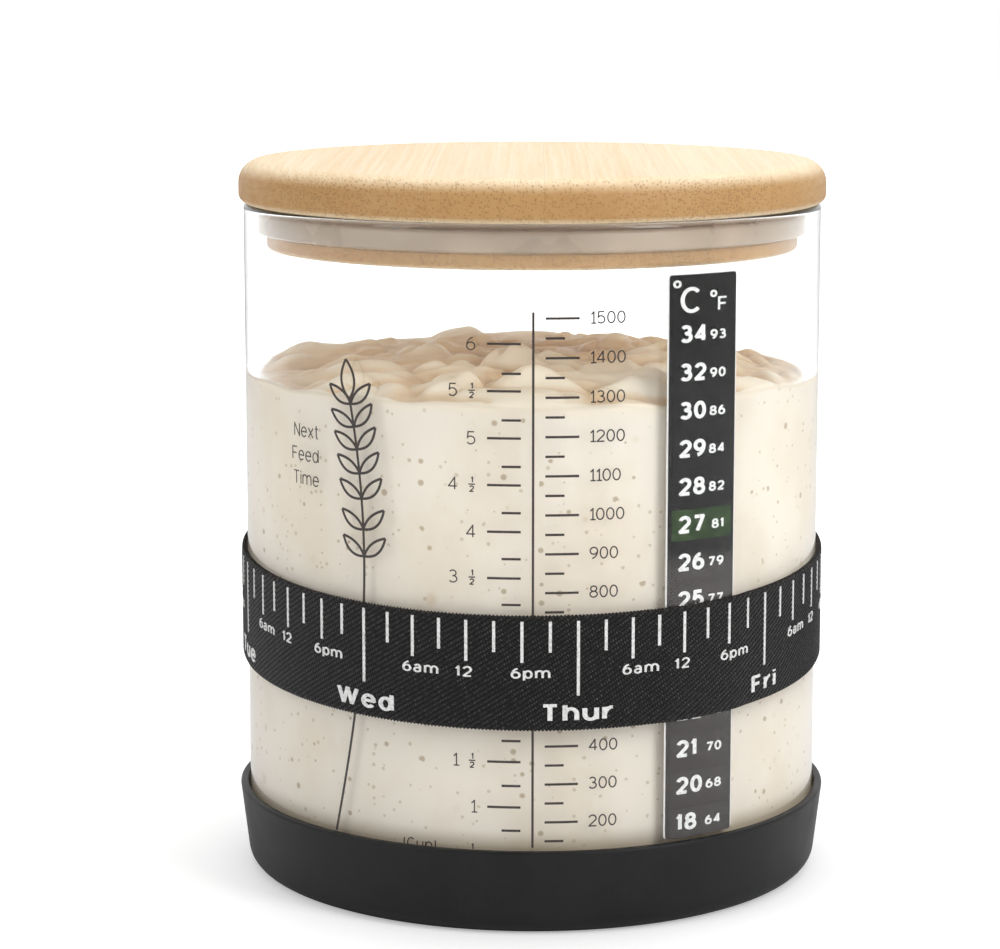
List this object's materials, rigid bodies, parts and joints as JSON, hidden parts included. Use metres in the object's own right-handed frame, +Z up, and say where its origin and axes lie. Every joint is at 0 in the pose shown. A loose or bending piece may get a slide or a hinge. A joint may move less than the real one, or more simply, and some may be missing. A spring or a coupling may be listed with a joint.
{
  "type": "sourdough starter jar",
  "caption": "Straight glass jar of starter in a soft boot, with a plug-in bamboo lid and clear seal, a volume scale, a thermometer strip and a woven day-and-hour band that slides on it.",
  "frame": {"origin": "centre of the boot's underside, on the table", "axes": "+Z up the jar's axis, -Y towards the scale on the front, +X to the right as the front is seen"},
  "size_m": [0.1344, 0.1344, 0.1615],
  "materials": {
    "black_silicone": "matte moulded silicone",
    "clear_glass": "clear polished glass",
    "starter_dough": "moist cream dough with a tan, creased top",
    "bamboo": "oiled laminated bamboo",
    "clear_silicone": "clear milky silicone",
    "black_webbing": "woven elastic webbing",
    "black_thread": "polyester sewing thread",
    "white_print": "white textile print",
    "clear_adhesive": "clear adhesive film",
    "black_film": "black printed film",
    "liquid_crystal": "liquid crystal cells under film, one of them dark green",
    "clear_film": "clear glossy cover film",
    "fired_ink": "dark fired ink"
  },
  "bodies": {
    "boot": {"base_sleeve": "black_silicone"},
    "jar": {"glass_jar": "clear_glass", "starter": "starter_dough", "strip_adhesive": "clear_adhesive", "strip_backing": "black_film", "strip_cells": "liquid_crystal", "strip_cover": "clear_film", "scale_line": "fired_ink", "millilitre_ticks": "fired_ink", "cup_ticks": "fired_ink"},
    "band": {"band_webbing": "black_webbing", "band_stitches": "black_thread", "band_ticks": "white_print"},
    "seal": {"lid_seal": "clear_silicone"},
    "lid": {"lid_board": "bamboo"}
  },
  "joints": [
    {"name": "jar_lift", "type": "slide", "parent": "boot", "child": "jar", "axis": [0, 0, 1], "range_m": [0, 0.04]},
    {"name": "seal_lift", "type": "slide", "parent": "jar", "child": "seal", "axis": [0, 0, 1], "range_m": [0, 0.045]},
    {"name": "lid_turn", "type": "hinge", "parent": "seal", "child": "lid", "pos_m": [0, 0, 0.1479], "axis": [0, 0, 1], "continuous": true},
    {"name": "band_height", "type": "slide", "parent": "jar", "child": "band", "axis": [0, 0, 1], "range_m": [-0.02, 0.06]}
  ]
}
